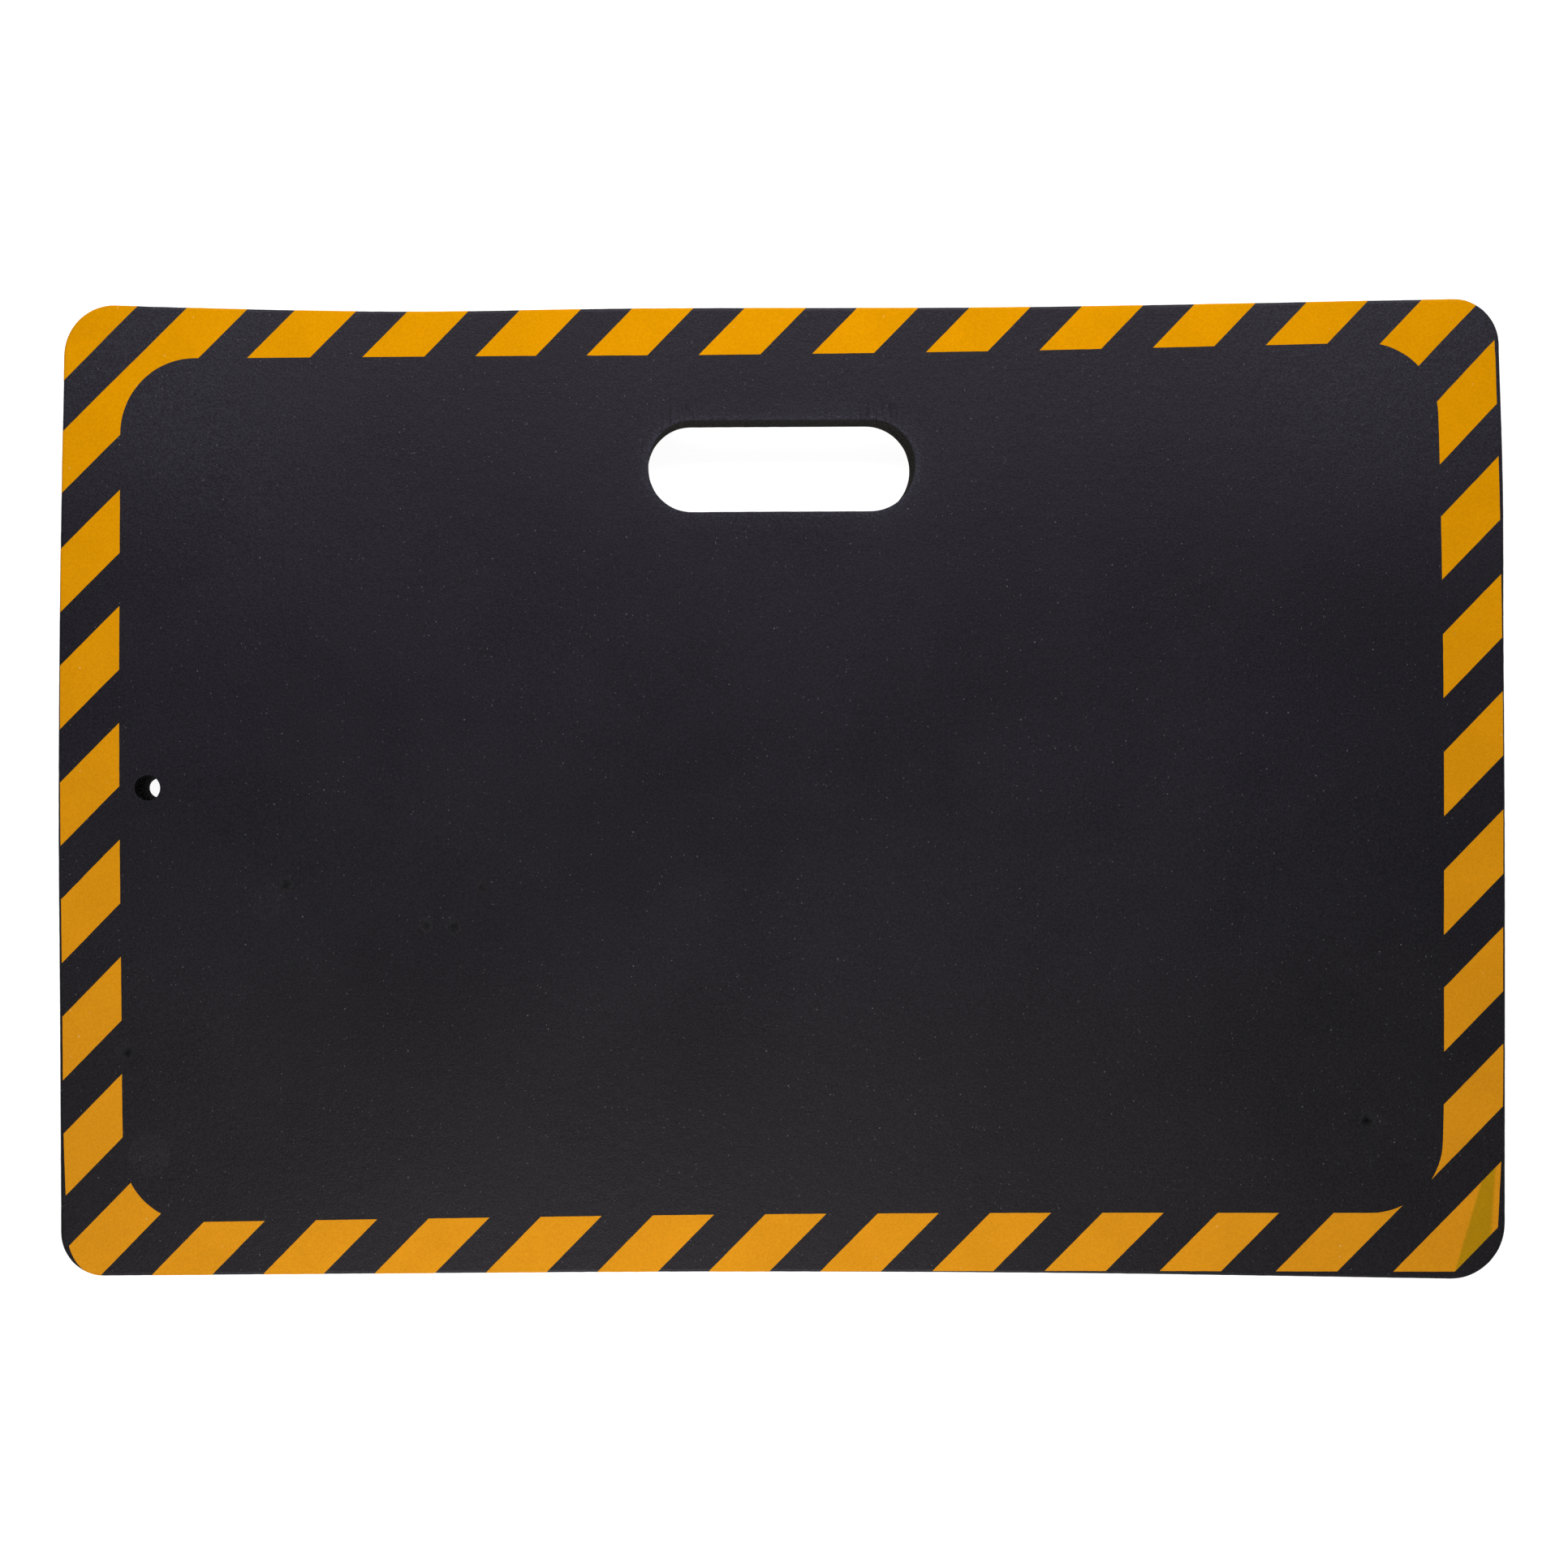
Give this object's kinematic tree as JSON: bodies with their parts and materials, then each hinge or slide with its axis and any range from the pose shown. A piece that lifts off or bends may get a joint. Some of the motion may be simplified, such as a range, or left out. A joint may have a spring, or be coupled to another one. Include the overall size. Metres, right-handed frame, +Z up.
{
  "type": "kneeling pad",
  "caption": "Flat rectangular closed-cell foam kneeling pad with rounded corners, a hand slot, a hang hole and a printed diagonal hazard-stripe border.",
  "frame": {"origin": "centre of the underside of the pad's bounding box, where it rests on the ground", "axes": "+X along the length, to the right with the hand slot at the far side; +Y across the width towards the hand slot; +Z up through the printed face"},
  "size_m": [0.5334, 0.3556, 0.0254],
  "materials": {
    "foam": "matte closed-cell foam skin",
    "ink": "screen-printed yellow-orange ink, slight satin"
  },
  "bodies": {
    "root": {"bottom_stripe_01": "ink", "bottom_stripe_02": "ink", "bottom_stripe_03": "ink", "bottom_stripe_04": "ink", "bottom_stripe_05": "ink", "bottom_stripe_06": "ink", "bottom_stripe_07": "ink", "bottom_stripe_08": "ink", "bottom_stripe_09": "ink", "bottom_stripe_10": "ink", "corner_stripe_bottom_left": "ink", "corner_stripe_bottom_right_lower": "ink", "corner_stripe_bottom_right_tip": "ink", "corner_stripe_bottom_right_upper": "ink", "corner_stripe_top_left": "ink", "corner_stripe_top_left_tip": "ink", "corner_stripe_top_right": "ink", "foam_slab": "foam", "left_stripe_01": "ink", "left_stripe_02": "ink", "left_stripe_03": "ink", "left_stripe_04": "ink", "left_stripe_05": "ink", "left_stripe_06": "ink", "right_stripe_01": "ink", "right_stripe_02": "ink", "right_stripe_03": "ink", "right_stripe_04": "ink", "right_stripe_05": "ink", "right_stripe_06": "ink", "top_stripe_01": "ink", "top_stripe_02": "ink", "top_stripe_03": "ink", "top_stripe_04": "ink", "top_stripe_05": "ink", "top_stripe_06": "ink", "top_stripe_07": "ink", "top_stripe_08": "ink", "top_stripe_09": "ink", "top_stripe_10": "ink"}
  },
  "joints": []
}
